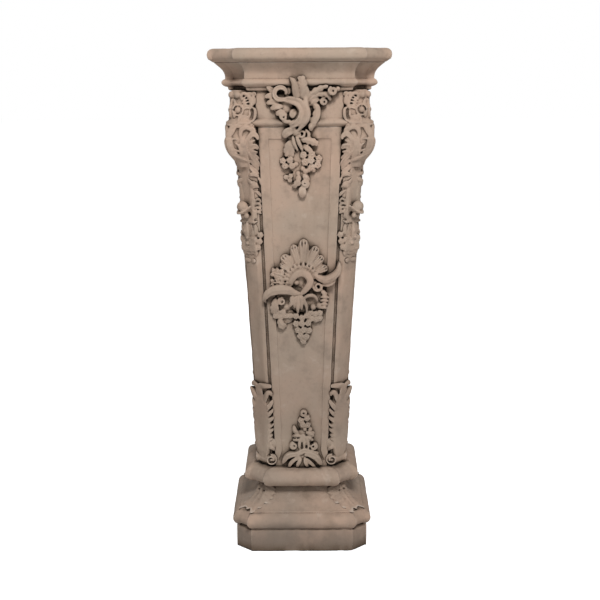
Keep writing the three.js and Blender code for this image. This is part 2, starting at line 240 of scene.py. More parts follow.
def all_round(quarter, z):
    """The right-hand quarter of an outline, repeated on all four sides, at a height."""
    x, y = np.array(quarter).T
    ring = np.concatenate([np.stack(turn, axis=1) for turn in ((x, y), (-y, x), (-x, -y), (y, -x))])
    return np.column_stack([ring, np.full(len(ring), z)])


def outline_ring(z, reach, bay, setback):
    """One level's outline: each face stands forward over its bay, and the corner is cut at 45 degrees."""
    back = reach - setback
    face = np.linspace(-1, 1, BAY_STEPS + 1) * (bay - ARRIS)
    cant = np.linspace(0, 1, CANT_STEPS + 1)
    quarter = [(reach, y) for y in face]
    quarter += [(reach - 0.3 * ARRIS, bay - 0.3 * ARRIS), (reach - ARRIS, bay)]
    quarter += [(back + (ARRIS if setback > 2 * ARRIS else 0.5 * setback), bay)]
    quarter += [(back + (bay - back) * t, bay + (back - bay) * t) for t in cant]
    quarter += [(bay, back + ARRIS), (bay, reach - ARRIS), (bay - 0.3 * ARRIS, reach - 0.3 * ARRIS)]
    return all_round(quarter, z)


def moulded(name, levels):
    return wrapped_grid(name, np.stack([outline_ring(*one) for one in levels]))


def shaft_ring(z):
    """The shaft's outline at a height, with the grooves beside each panel and the sunk field in it."""
    front, pillar = shaft_reach(z), shaft_reach(z) - CORNER_SETBACK
    floor = front - PANEL_GROOVE_DEPTH
    bay = panel_half(z)
    far = bay + PANEL_GROOVE_WIDTH
    cut = pillar - CORNER_CUT
    flare = min(1.0, max(0.0, (FIELD_FLARE_TOP - z) / (FIELD_FLARE_TOP - FIELD_FOOT)))
    outer = field_half(max(z, FIELD_FLARE_TOP)) + FIELD_FLARE * flare
    inner = outer - FIELD_BEVEL
    depth = FIELD_DEPTH * float(np.interp(min(z - FIELD_FOOT, FIELD_TOP - z), *zip(*FIELD_STEP)))
    half = [(front - depth, y) for y in np.linspace(0, 1, 9)[1:] * inner]
    half += [(front - depth * share, outer - inset) for inset, share in FIELD_STEP[-2:0:-1]]
    half += [(front, outer), (front, outer + 0.5 * (bay - outer)), (front, bay - ARRIS),
             (front - 0.3 * ARRIS, bay - 0.3 * ARRIS), (front - ARRIS, bay), (floor + ARRIS, bay + 0.5),
             (floor, bay + 1.5), (floor, far - 1), (floor + 1, far), (pillar - ARRIS, far + 0.5),
             (pillar - 0.3 * ARRIS, far + 0.8), (pillar, far + 1.8), (pillar, cut - 1.5),
             (pillar - 0.4, cut - 0.2)]
    middle = (pillar + cut) / 2
    quarter = [(x, -y) for x, y in reversed(half)] + [(front - depth, 0.0)] + half
    quarter += [(pillar - 1.2, cut + 1.2), (middle + 4, middle - 4), (middle, middle),
                (middle - 4, middle + 4), (cut + 1.2, pillar - 1.2)]
    return all_round(quarter, z)


def shaft_column():
    foot = BASE_HEIGHT + JOINT_GAP / 2
    edge = np.array([inset for inset, _ in FIELD_STEP])
    heights = np.r_[foot, FIELD_FOOT - 1, FIELD_FOOT + edge, np.arange(236, FIELD_TOP - 12, 8),
                    FIELD_TOP - edge[::-1], 1052, 1064, SHAFT_TOP]
    return wrapped_grid("shaft_column", np.stack([shaft_ring(z) for z in heights]))


# Carving: leaves, buds and flowers as closed skins on a chart
LEAF_TIP = 0.04
RIB_HALF = 0.18
CHANNEL_HALF = 0.42
SPINE_STOPS = 41
GROUND_RINGS = {"columns": 28, "rows": 14}


def leaf(on, stops, wide, rise, root=8.0, lobes=0, bite=0.45, rake=0.5, veins=0.0, rib=0.0, thin=None,
         taper=0.5, one_side=0, rows=None, columns=20):
    """A leaf, ribbon or scroll along a route. It stands on the surface, or is a free band where thin is set.
    rib raises a line down its middle, or sinks a channel there where it is negative."""
    rows = rows or max(16, 9 * lobes)
    line, ahead = route(stops, rows)
    side = np.stack([-ahead[:, 1], ahead[:, 0]], axis=1)
    side /= np.maximum(np.linalg.norm(side, axis=1), 1e-9)[:, None]
    shares = np.linspace(0, 1, rows)
    angle = np.linspace(0, 2 * math.pi, columns, endpoint=False)
    along, over = np.meshgrid(shares, np.cos(angle), indexing="ij")
    up = np.meshgrid(shares, np.sin(angle), indexing="ij")[1]
    full = np.clip(np.clip(np.sin(math.pi * along), 0, 1) ** taper, LEAF_TIP, 1)
    edge = np.abs(over)
    spread = np.ones_like(along)
    if lobes:
        notch = 1 - np.sin(math.pi * ((along * lobes) % 1.0) ** 1.5) ** 0.6
        if one_side:
            notch = notch * (np.sign(over) == one_side)
        spread = 1 - bite * notch
    reach = over * wide * full * spread
    top = np.clip(up, 0, 1) ** 0.35
    crown = rise * top * full**0.6
    if rib > 0:
        crown += rib * np.exp(-((over / RIB_HALF) ** 2)) * top * full
    elif rib < 0:
        crown += rib * np.exp(-((over / CHANNEL_HALF) ** 2)) * top * full
    if veins:
        crown += veins * np.cos(2 * math.pi * (along * max(lobes, 3) * 2 - edge * rake * 2)) * edge * top
    forward = rake * wide * edge**2 * full * (1.0 if lobes else 0.0)
    x = line[:, None, 0] + side[:, None, 0] * reach + ahead[:, None, 0] * forward
    z = line[:, None, 1] + side[:, None, 1] * reach + ahead[:, None, 1] * forward
    depth = root + line[:, None, 2] if thin is None else thin
    out = line[:, None, 2] + crown - np.clip(-up, 0, 1) * depth * full**0.3
    return wrapped_grid("leaf", on(x, z, out))


def bud(on, place, size, rise=None, columns=14, rows=9):
    rise = rise or size
    down = np.linspace(0.05, math.pi - 0.05, rows)
    round_it = np.linspace(0, 2 * math.pi, columns, endpoint=False)
    polar, around = np.meshgrid(down, round_it, indexing="ij")
    x = place[0] + size * np.sin(polar) * np.cos(around)
    z = place[1] + size * np.cos(polar)
    return wrapped_grid("bud", on(x, z, place[2] + rise * np.sin(polar) * np.sin(around)))


def flower(on, place, size, petals=5, rise=5.0):
    """Cupped petals about a small heart, turned a little differently at each place."""
    x, z, out = place
    turn = 0.37 * x + 0.21 * z
    parts = [bud(on, (x, z, out + 0.35 * rise), 0.3 * size, 0.75 * rise, columns=10, rows=7)]
    for step in range(petals):
        angle = turn + 2 * math.pi * step / petals
        dx, dz = size * math.cos(angle), size * math.sin(angle)
        stops = [(x + 0.1 * dx, z + 0.1 * dz, out - 1), (x + 0.6 * dx, z + 0.6 * dz, out),
                 (x + dx, z + dz, out - 2)]
        parts.append(leaf(on, stops, 0.42 * size, rise, rib=-0.35 * rise, rows=8, columns=12, taper=0.4))
    return parts


def coil(on, centre, start, end, turns, begin, outs, wide, rise, **more):
    """A ribbon wound round a centre from one radius to another, anticlockwise where turns is positive."""
    x, z = centre
    stops = []
    for t in np.linspace(0, 1, max(8, int(10 * abs(turns)))):
        radius = start + (end - start) * t
        angle = math.radians(begin + 360 * turns * t)
        stops.append((x + radius * math.cos(angle), z + radius * math.sin(angle),
                      outs[0] + (outs[1] - outs[0]) * t))
    more.setdefault("taper", 0.3)
    return leaf(on, stops, wide, rise, rows=max(24, int(34 * abs(turns))), columns=12, **more)


def frond(on, spine, count, reach, wide, rise, sides=(-1, 1), forward=0.8, fall=4.0, root=10.0, stem=0.3,
          rib=-2.0, first=0.05, last=0.85):
    """An acanthus: pairs of cupped leaflets set along a spine, whose tips point on and down."""
    line, ahead = route(spine, SPINE_STOPS)
    parts = [leaf(on, spine, reach * stem, rise + 1, root=root, rib=1.5)]
    for step in range(count):
        share = first + (last - first) * step / max(1, count - 1)
        here = int(round((SPINE_STOPS - 1) * share))
        x, z, out = line[here]
        dx, dz = ahead[here][:2]
        length = reach * (0.72 + 0.28 * math.sin(math.pi * min(1.0, share + 0.15)))
        for side in sides:
            sx, sz = -dz * side, dx * side
            middle = (x + 0.55 * length * sx + 0.25 * length * forward * dx,
                      z + 0.55 * length * sz + 0.25 * length * forward * dz, out + 0.25 * rise)
            tip = (x + length * sx + length * forward * dx, z + length * sz + length * forward * dz,
                   out - fall)
            parts.append(leaf(on, [(x, z, out), middle, tip], wide, rise, root=root, rib=rib, taper=0.45))
    return parts


# The share of a fused carving's faces that stays, and the angle up to which a piece is smooth
KEPT_FACES = 0.66
SMOOTH_ANGLE = math.radians(38)


def fused(name, parts, voxel):
    """The parts of one carving, run together into a single skin and softened as a cast is."""
    whole = joined(name, parts)
    finish_with(whole, "REMESH", mode="VOXEL", voxel_size=voxel * MM, use_smooth_shade=True)
    finish_with(whole, "SMOOTH", factor=0.5, iterations=1)
    finish_with(whole, "DECIMATE", ratio=KEPT_FACES)
    return whole


def several(make, on, spots, *sizes, **more):
    parts = []
    for spot in spots:
        made = make(on, spot, *sizes, **more)
        parts += made if isinstance(made, list) else [made]
    return parts


def crest():
    on = face_chart
    scroll = [(-20, 1128, 14), (-38, 1132, 15), (-51, 1133, 16), (-59, 1142, 16), (-57, 1153, 17),
              (-48, 1160, 18), (-37, 1158, 18), (-31, 1150, 16), (-34, 1142, 14)]
    shoulder = [(-42, 1131, 12), (-22, 1131, 18), (-2, 1124, 21), (8, 1106, 21), (2, 1086, 20),
                (-12, 1074, 17), (-24, 1068, 14)]
    ruffles = [[(-52, 1146, 8), (-68, 1156, 12), (-78, 1165, 15)],
               [(-56, 1138, 8), (-70, 1141, 11), (-83, 1137, 10)],
               [(-48, 1126, 10), (-64, 1127, 11), (-79, 1123, 9)],
               [(-38, 1116, 10), (-54, 1116, 11), (-70, 1110, 8)],
               [(-34, 1104, 8), (-46, 1102, 9), (-57, 1097, 7)]]
    lower = [[(-8, 1084, 12), (-19, 1077, 13), (-30, 1076, 9)],
             [(-6, 1076, 14), (-16, 1067, 13), (-26, 1062, 8)]]
    wing = [[(10, 1122, 14), (19, 1138, 15), (31, 1148, 17), (49, 1158, 22), (66, 1163, 27)],
            [(16, 1122, 12), (31, 1138, 14), (49, 1145, 15), (64, 1142, 13), (73, 1129, 10)],
            [(20, 1116, 10), (33, 1128, 12), (45, 1134, 12)]]
    hanging = [(26, 1128, 9), (38, 1114, 12), (38, 1096, 12), (31, 1080, 12), (26, 1064, 17)]
    grounds = [((-40, 1122, 2), 26, 8), ((26, 1122, 2), 22, 8), ((2, 1096, 4), 22, 10),
               ((-8, 1050, 1), 22, 6), ((0, 988, 0), 32, 5), ((0, 950, 0), 20, 5)]
    return fused("crest", [
        *[bud(on, *ground, **GROUND_RINGS) for ground in grounds],
        leaf(on, [(4, 1126, 12), (6, 1158, 27), (3, 1186, 34)], 14, 8, root=34, rib=2, taper=0.4, lobes=4,
             bite=0.3, veins=1.2),
        leaf(on, [(-4, 1126, 14), (-9, 1150, 28), (-13, 1172, 37), (-23, 1183, 37)], 8, 8, root=36, rib=2),
        leaf(on, [(14, 1128, 12), (16, 1146, 20), (13, 1166, 29)], 7, 7, root=28),
        leaf(on, scroll, 6, 9, root=18, rows=46, taper=0.3, rib=-3),
        leaf(on, [(-34, 1140, 10), (-28, 1150, 12), (-20, 1158, 15)], 8, 7, root=16),
        *[leaf(on, stops, 7, 7, root=14, rib=-2) for stops in ruffles],
        leaf(on, shoulder, 11, 9, root=22, rows=40, taper=0.35, rib=-4),
        leaf(on, [(-8, 1110, 10), (-15, 1100, 13), (-18, 1088, 12)], 9, 4, root=14, rib=-2),
        coil(on, (-38, 1092), 9, 2, 1.6, 20, (11, 14), 3.2, 5, root=14),
        leaf(on, [(-44, 1086, 8), (-30, 1080, 12), (-22, 1084, 14)], 5, 6, root=14),
        *[leaf(on, stops, 5.5, 7, root=20, rib=-1.5) for stops in lower],
        leaf(on, [(24, 1152, 14), (14, 1136, 17), (15, 1118, 20), (19, 1102, 22), (15, 1084, 21),
                  (3, 1068, 20), (-10, 1056, 17)], 7, 9, root=22, rows=40, rib=1.5),
        leaf(on, hanging, 11, 8, root=20, lobes=4, rib=2, one_side=-1),
        leaf(on, [(22, 1078, 14), (26, 1068, 18), (27, 1058, 16)], 6, 6, root=20),
        *[leaf(on, stops, 8, 8, root=20, rib=1.5, lobes=5, bite=0.4, rows=45) for stops in wing],
        coil(on, (77, 1152), 10, 2, 1.5, 110, (24, 24), 3.2, 5, root=26),
        bud(on, (89, 1156, 18), 6, 9),
        coil(on, (57, 1127), 9, 2, 1.5, 60, (12, 15), 3.2, 5, root=16),
        bud(on, (-9, 1056, 14), 9, 9),
        leaf(on, [(-12, 1060, 12), (-30, 1056, 14), (-39, 1042, 8)], 10, 8, rib=-3, taper=0.4),
        coil(on, (4, 1053), 10, 3, 1.3, 150, (11, 13), 3, 5),
        leaf(on, [(12, 1064, 12), (21, 1052, 10), (18, 1036, 7)], 4, 7),
        leaf(on, [(-17, 1050, 10), (-14, 1030, 11), (-4, 1010, 9)], 4.5, 8),
        leaf(on, [(-10, 1050, 10), (-3, 1032, 11), (7, 1010, 9)], 4.5, 8),
        leaf(on, [(-3, 1040, 6), (18, 1037, 9), (44, 1028, 11)], 10, 6, rib=2, taper=0.4, lobes=4,
             bite=0.35),
        leaf(on, [(-22, 1038, 5), (-25, 1018, 7), (-25, 1000, 7)], 15, 8, rib=-3, taper=0.3, lobes=3,
             bite=0.25, veins=1),
        leaf(on, [(6, 1026, 5), (20, 1016, 8), (30, 1007, 7)], 7, 6, rib=-1.5),
        *several(flower, on, [(8, 1002, 7), (28, 1002, 7), (45, 993, 4), (42, 978, 5), (26, 989, 9),
                              (12, 985, 8), (27, 973, 5)], 10, rise=8),
        *several(flower, on, [(-41, 988, 4), (-24, 990, 6), (-36, 976, 4), (-19, 976, 6)], 9, rise=8),
        *several(bud, on, [(-9, 980, 7), (6, 970, 6), (13, 963, 6), (-5, 958, 5), (20, 966, 5),
                           (32, 966, 3)], 6.5, 6),
        *several(flower, on, [(-34, 949, 3), (-22, 952, 4), (-24, 941, 3)], 7, rise=5),
        leaf(on, [(-2, 958, 5), (-6, 938, 8), (-16, 924, 5)], 9, 6, rib=2, lobes=3),
        leaf(on, [(6, 956, 5), (14, 948, 7), (22, 938, 4)], 7, 5, rib=1.5),
        coil(on, (12, 934), 10, 2, 1.8, 200, (7, 12), 3.2, 4),
        leaf(on, [(4, 928, 5), (5, 912, 7), (5, 898, 4)], 10, 7, rib=-1.5),
    ], voxel=1.25)


def shell_lobe(on, foot, tip, wide):
    """One lobe of the shell: a scalloped plate with three ribs that end in a turned-up rim."""
    (fx, fz), (tx, tz) = foot, tip
    dx, dz = tx - fx, tz - fz
    length = math.hypot(dx, dz)
    sx, sz = -dz / length, dx / length
    parts = [leaf(on, [(fx, fz, 8), (tx, tz, 7)], wide, 5, rib=-2, taper=0.35)]
    for spread in (-0.55, 0.0, 0.55):
        end = (tx + sx * spread * wide - dx * 0.12 * abs(spread),
               tz + sz * spread * wide - dz * 0.12 * abs(spread), 11)
        start = (fx + sx * spread * 0.4 * wide, fz + sz * spread * 0.4 * wide, 9)
        parts.append(leaf(on, [start, end], 0.2 * wide, 5, taper=0.35))
    return parts


def cartouche():
    on = face_chart
    hub = (4.0, 700.0)
    lobes = [(8, 799, 14), (-18, 785, 13), (-44, 760, 14), (40, 781, 13), (55, 757, 12), (66, 730, 12),
             (-50, 738, 9)]
    shell = []
    for x, z, wide in lobes:
        foot = (hub[0] + 0.38 * (x - hub[0]), hub[1] + 0.38 * (z - hub[1]))
        shell += shell_lobe(on, foot, (x, z), wide)
    flutes = []
    for step in range(13):
        angle = math.radians(188 - 14.5 * step)
        inner, outer = 27, 47 if step % 2 else 43
        along, up = math.cos(angle), math.sin(angle)
        foot = (hub[0] + inner * along, hub[1] - 4 + inner * up, 13)
        tip = (hub[0] + outer * along, hub[1] - 4 + outer * up, 14)
        flutes.append(leaf(on, [foot, tip], 4.2, 6, root=16, taper=0.4))
    hump = [(-24, 682, 12), (-22, 698, 16), (-10, 713, 19), (6, 717, 20), (20, 707, 20), (23, 692, 19),
            (13, 676, 17), (-2, 660, 13)]
    horn = [(26, 716, 12), (42, 705, 16), (60, 700, 21), (78, 707, 26), (91, 722, 29), (94, 744, 29)]
    wing = [(0, 664, 14), (-16, 668, 18), (-32, 675, 21), (-55, 676, 22), (-78, 667, 20), (-92, 648, 15)]
    striae = [[(48, 692 - 3 * step, 12), (68, 691 - 3 * step, 18),
               (86, 702 - 3 * step, 23)] for step in range(3)]
    ribs = [[(46, 654 - 9 * step, 9), (58, 656 - 9 * step, 12),
             (71 - 2 * step, 652 - 9 * step, 7)] for step in range(4)]
    grounds = [((4, 652, 1), 38, 8), ((-42, 638, 0), 24, 6), ((44, 652, 0), 22, 8), ((-36, 606, 0), 21, 5),
               ((36, 606, 0), 18, 5), ((4, 582, 0), 22, 6), ((-50, 702, 1), 22, 6)]
    return fused("cartouche", [
        *[bud(on, *ground, **GROUND_RINGS) for ground in grounds],
        *shell,
        leaf(on, [(-28, 690, 2), (4, 706, 8), (36, 690, 2)], 30, 6),
        *flutes,
        leaf(on, hump, 9.5, 9, root=20, rows=46, taper=0.3),
        bud(on, (-10, 692, 8), 9, 11),
        leaf(on, horn, 9, 9, root=30, rows=40, rib=2),
        *[leaf(on, stops, 2.6, 6, root=24) for stops in striae],
        coil(on, (42, 682), 13, 3.5, 1.5, 100, (13, 18), 4.2, 6, root=20),
        leaf(on, [(36, 694, 12), (26, 692, 16), (18, 680, 12)], 6, 6, root=16),
        leaf(on, [(50, 674, 10), (58, 664, 12), (66, 662, 8)], 6, 6),
        *frond(on, [(-28, 689, 9), (-50, 691, 10), (-74, 691, 7)], 4, 13, 4.6, 7, forward=0.7, fall=1),
        *frond(on, [(-32, 704, 9), (-50, 712, 10), (-72, 718, 7)], 4, 13, 4.6, 7, forward=0.7, fall=1),
        leaf(on, wing, 12, 8, thin=8, rows=44, rib=1.5),
        leaf(on, [(-86, 660, 14), (-90, 650, 12), (-84, 640, 5)], 4, 5),
        coil(on, (-46, 645), 10, 2.5, 1.5, 60, (11, 13), 3, 5),
        bud(on, (-46, 645, 6), 4.5, 8),
        leaf(on, [(-14, 664, 14), (-22, 654, 15), (-23, 640, 13), (-33, 627, 10)], 5, 7, root=14),
        *[leaf(on, [(-9 + 3 * step, 664, 12), (x, z + 22, 14), (x, z, 9)], 4.3, 7, root=14)
          for step, (x, z) in enumerate([(-15, 626), (-7, 612), (2, 620), (14, 612)])],
        leaf(on, [(5, 642, 10), (12, 656, 14), (26, 661, 16), (37, 655, 14), (42, 642, 10)], 5, 8, root=16,
             rows=28),
        bud(on, (30, 630, 4), 9, 12),
        bud(on, (46, 633, 4), 8.5, 12),
        *[leaf(on, stops, 3.8, 6) for stops in ribs],
        leaf(on, [(-62, 654, 8), (-63, 636, 10), (-67, 612, 5)], 11, 7, rib=2, taper=0.45, lobes=3, bite=0.3,
             veins=1),
        bud(on, (-34, 630, 5), 9.5, 11),
        *several(flower, on, [(-62, 606, 4), (-49, 604, 5), (-37, 607, 5), (-44, 617, 6), (-26, 607, 5),
                              (-57, 616, 4)],
                 8.5, rise=8),
        leaf(on, [(-54, 602, 4), (-49, 588, 7), (-39, 576, 4)], 11, 7, rib=2, taper=0.4, lobes=3, bite=0.3),
        *several(flower, on, [(-12, 606, 7), (3, 602, 8), (15, 607, 7)], 9, rise=8),
        *several(flower, on, [(24, 614, 5), (36, 612, 5), (47, 614, 4), (26, 599, 5), (37, 597, 4),
                              (47, 600, 3)], 8.5,
                 rise=8),
        *several(flower, on, [(-12, 587, 6), (3, 587, 8), (18, 588, 6), (-7, 570, 6), (7, 571, 8),
                              (20, 569, 5), (-1, 555, 6), (13, 553, 6), (6, 542, 4)], 9.5, rise=8),
    ], voxel=1.3)


def spray():
    on = face_chart
    grounds = [((7, 322, 0), 16, 6), ((5, 284, 1), 24, 8), ((5, 246, 1), 28, 9), ((4, 224, 0), 30, 6)]
    return fused("foot_spray", [
        *[bud(on, *ground, **GROUND_RINGS) for ground in grounds],
        coil(on, (5, 353), 8, 3, 1.3, 200, (7, 9), 3.5, 5),
        *several(flower, on, [(14, 339, 5), (-1, 334, 5), (4, 322, 6), (16, 321, 5)], 9, rise=8),
        *several(bud, on, [(22, 309, 5), (9, 309, 5), (28, 298, 4)], 6, 6),
        leaf(on, [(-6, 300, 8), (-16, 306, 10), (-19, 320, 7)], 6, 6, rib=1.5),
        leaf(on, [(2, 292, 8), (-10, 294, 10), (-23, 290, 6)], 5, 6, rib=1.5),
        leaf(on, [(2, 284, 8), (-8, 283, 10), (-22, 281, 6)], 4, 6),
        leaf(on, [(10, 300, 8), (20, 300, 9), (32, 290, 6)], 6, 6, rib=1.5),
        leaf(on, [(8, 290, 8), (18, 288, 9), (31, 278, 6)], 5, 6, rib=1.5),
        *[leaf(on, [(4, 300, 8), (x, 276, 9), (x, 252, 7)], 4.4, 7) for x in (-4, 7, 17)],
        coil(on, (-19, 266), 9.5, 2, 1.6, 80, (7, 10), 3, 5),
        coil(on, (31, 264), 9.5, 2, -1.6, 100, (7, 10), 3, 5),
        leaf(on, [(-32, 247, 7), (-10, 246, 11), (8, 254, 12), (24, 249, 11), (44, 245, 7)], 7, 6, rib=-1.5,
             rows=30),
        *[leaf(on, stops, wide, 6, root=12, rib=-1.5) for stops, wide in [
            ([(0, 240, 10), (-20, 244, 14), (-38, 236, 13), (-50, 214, 6)], 7),
            ([(0, 236, 10), (-16, 231, 13), (-27, 220, 11), (-34, 203, 6)], 5.5),
            ([(1, 234, 10), (-7, 222, 12), (-12, 206, 7)], 5),
            ([(5, 240, 10), (20, 244, 14), (37, 236, 15), (52, 212, 8)], 8),
            ([(5, 236, 10), (16, 228, 12), (27, 216, 9), (36, 204, 5)], 5),
            ([(6, 234, 10), (11, 220, 11), (17, 206, 7)], 4.5)]],
    ], voxel=1.2)


# How far a corner stands out at each height
BRACKET_PLAN = [(700, -5), (972, -5), (985, -1), (995, 3), (1010, 10), (1025, 14), (1040, 15), (1054, 12),
                (1066, 11), (1073, 11), (1079, 10), (1086, 4), (1098, 3), (1112, 3), (1130, 0), (1154, 0)]


def flank_chart(x, z, out):
    """The front flank of a corner. It bulges with the bracket, and falls away with the cut corner below."""
    cut = np.clip(x - (shaft_reach(z) - CORNER_SETBACK - CORNER_CUT), 0, None) * np.clip((1002 - z) / 24, 0,
                                                                                         1)
    return face_chart(x, z, out - cut + np.interp(z, *zip(*BRACKET_PLAN)))


FLANKS = (flank_chart, beside(flank_chart))


# Strokes of a corner's front flank: stops in the flank chart, half width, rise and rib
BLOCK_STROKES = [
    ([(155, 1134, -0.2), (152, 1125, 0.3), (155, 1117, -0.6)], 4, 3.6, 0),
    ([(139, 1132, 0.5), (135, 1145, 2.6), (125, 1145, 3.3), (116, 1132, 2.9), (114, 1118, 1.9),
      (118, 1108, 0.8)], 4.5, 4.8, 0),
    ([(139, 1129, 0.8), (131, 1136, 2.4), (124, 1140, 2.1)], 2, 3.6, 0),
    ([(138, 1123, 0.6), (127, 1131, 2.2), (119, 1134, 1.9)], 2, 3.6, 0),
    ([(136, 1118, 0.5), (125, 1125, 2.1), (116, 1127, 1.8)], 2, 3.6, 0),
    ([(135, 1113, 0.4), (124, 1118, 1.9), (115, 1119, 1.2)], 2, 3.6, 0),
    ([(134, 1108, 0.4), (125, 1112, 1.4), (117, 1112, 0.7)], 2, 3.6, 0),
    ([(126, 1149, 1.3), (115, 1147, 2.3), (108, 1136, 2), (108, 1125, 0.7), (112, 1116, -0.6)], 3, 4.8, 0),
    ([(115, 1150, 0.6), (106, 1148, 1.2), (103, 1140, 0.7)], 2.6, 4.2, 0),
    ([(104, 1137, -0.8), (105, 1129, 0.1), (106, 1120, -1.6)], 2.4, 4.2, 0),
    ([(113, 1114, -0.6), (106, 1109, 1.4), (105, 1099, 1.2), (107, 1089, 0.7), (113, 1080, -1.2)], 4, 4.8,
     0),
    ([(118, 1108, -0.3), (118, 1099, 0.9), (118, 1090, -0.1)], 3, 3.6, 0),
    ([(157, 1106, 0.1), (155, 1098, 0.9), (154, 1089, 0.3)], 4, 3.6, 0),
    ([(143, 1086, 0), (129, 1091, 2), (119, 1084, 0)], 6, 4.2, -1.5),
    ([(147, 1082, -0.6), (143, 1089, 1.4), (140, 1094, 0.2)], 3.2, 4.2, 0),
    ([(150, 1078, -0.5), (135, 1079, 1.8), (121, 1078, 0.6), (112, 1085, -0.2)], 4.6, 4.8, 0),
    ([(170, 1074, 0), (153, 1071, 0.7), (136, 1071, 0.3), (121, 1072, -1), (110, 1074, -2)], 5, 4.8, 0),
]
CONSOLE_STROKES = [
    ([(150, 1070, 0.2), (158, 1064, 1.7), (166, 1053, 1.3), (170, 1040, 0)], 9, 5.4, 0),
    ([(172, 1047, 0.3), (175, 1036, 0), (171, 1019, 0.3), (163, 1003, 0.6), (154, 985, 0.7)], 5, 4.2, 0),
    ([(147, 1039, -0.3), (157, 1041, 1.4), (165, 1034, 2.1), (167, 1022, 2.1), (163, 1010, 2.1),
      (156, 1000, 2.1), (149, 990, 1.2)], 3.6, 4.8, 0),
    ([(154, 1031, 0), (146, 1026, 1.4), (141, 1015, 1.7), (140, 1005, 1.8), (142, 994, 0.9)], 3.4, 4.2, 0),
    ([(158, 1018, 0.3), (150, 1014, 2.4), (142, 1009, 2.2)], 2.2, 3.6, 0),
    ([(158, 1012, 0.5), (152, 1007, 2.5), (144, 1002, 2.5)], 2.2, 3.6, 0),
    ([(157, 1005, 0.7), (152, 1000, 2.4), (147, 997, 1.8)], 2.2, 3.6, 0),
    ([(136, 1048, 0.7), (137, 1032, 0.7), (135, 1015, 0.6), (130, 996, 1.3), (126, 977, 1),
      (125, 957, -0.3)], 7.5, 3.6, 0),
    ([(129, 1030, -1.4), (125, 1013, -0.3), (117, 1000, 0.7), (108, 990, 1.2)], 2.6, 3.6, 0),
    ([(139, 1040, -1.4), (140, 1054, 1.8), (136, 1064, 3.5), (126, 1068, 3.5), (117, 1063, 3.5),
      (115, 1056, 1.5)], 6, 6, 0),
    ([(124, 1069, -0.3), (113, 1065, 0.7), (108, 1060, -0.2), (107, 1052, -2)], 5, 4.8, 0),
    ([(125, 1028, -2), (121, 1043, -1.3), (111, 1052, 1.3), (102, 1047, -0.1), (99, 1038, -2)], 6.5, 5.4,
     -2),
    ([(126, 1012, -2), (129, 1024, -1.9), (127, 1038, -1), (121, 1049, 0.1)], 3.2, 4.8, 0),
    ([(121, 1022, -2), (114, 1033, -2), (106, 1038, -1.8)], 3.4, 4.2, 0),
    ([(121, 1013, -2), (114, 1020, -1.2), (106, 1023, 0.3), (98, 1016, -2)], 6.5, 5.4, -3),
    ([(120, 1008, -2), (111, 1009, -0.2), (100, 1009, -1.3)], 4.2, 4.8, 0),
    ([(123, 1006, -1.5), (113, 1003, 0.3), (104, 998, 1), (97, 992, -0.9)], 4.5, 4.8, -1.5),
    ([(121, 1004, -1.3), (109, 992, 2.3), (101, 983, 3.1), (97, 973, 0)], 5.5, 4.8, -2),
    ([(120, 990, -0.2), (110, 980, 2.8), (102, 972, 2.1), (98, 965, -0.3)], 4.5, 4.8, -1.5),
    ([(121, 979, 0.3), (114, 968, 2.1), (105, 961, 2.1), (97, 955, -0.3)], 5.5, 4.8, -2),
    ([(125, 951, -0.3), (116, 955, 2.1), (107, 955, 3.5), (98, 948, 1.4)], 5.5, 4.8, 0),
    ([(126, 946, -0.3), (121, 938, 2.4), (114, 935, 3.1), (109, 940, 1.8)], 4.5, 4.8, 0),
    ([(102, 947, 1.4), (95, 941, 1.8), (94, 929, -0.3)], 4.2, 4.2, 0),
    ([(111, 936, 0.7), (104, 927, 1.8), (98, 923, 0)], 4.2, 4.2, 0),
    ([(148, 938, -2), (148, 930, 0.3), (146, 921, -2)], 5, 3.6, 0),
    ([(119, 931, -1), (117, 906, 0), (117, 880, 0.3), (116, 858, 0.3)], 8, 3.6, 0),
    ([(109, 917, -0.3), (98, 908, 1.4), (92, 899, -0.3)], 4.2, 4.2, -1),
    ([(110, 889, -0.3), (101, 896, 1.8), (92, 887, 0.3)], 3.2, 4.2, 0),
    ([(110, 881, -0.3), (101, 885, 1.8), (91, 875, 0.3)], 3.4, 4.2, 0),
    ([(111, 873, -0.3), (102, 875, 1.8), (91, 867, 0.3)], 3.2, 4.2, 0),
    ([(113, 867, -0.3), (103, 865, 1.4), (92, 860, -0.3)], 3.8, 4.2, -1),
    ([(123, 871, 0), (112, 860, 1.8), (105, 848, 0.7)], 6, 4.2, -1.5),
    ([(116, 860, 0.3), (117, 850, 1.8), (112, 845, 1)], 4, 3.6, 0),
    ([(136, 849, 0.3), (123, 848, 2.1), (108, 849, 1)], 5, 3.6, 0),
    ([(136, 842, 0.7), (124, 840, 3.5), (112, 839, 3.5), (102, 843, 1)], 3.4, 4.2, 0),
    ([(131, 834, -0.3), (133, 819, 0.7), (136, 801, -0.7)], 5.5, 4.2, 0),
    ([(119, 835, 0.7), (121, 817, 1.8), (124, 798, 0)], 6, 4.2, -1.5),
    ([(110, 835, 0.3), (107, 821, 1.4), (109, 806, -0.3)], 5, 4.2, 0),
    ([(113, 771, 0), (118, 763, 1.8), (124, 757, 0)], 5, 4.2, 0),
    ([(111, 771, 0), (108, 764, 1.8), (110, 754, 0)], 5, 4.2, 0),
]
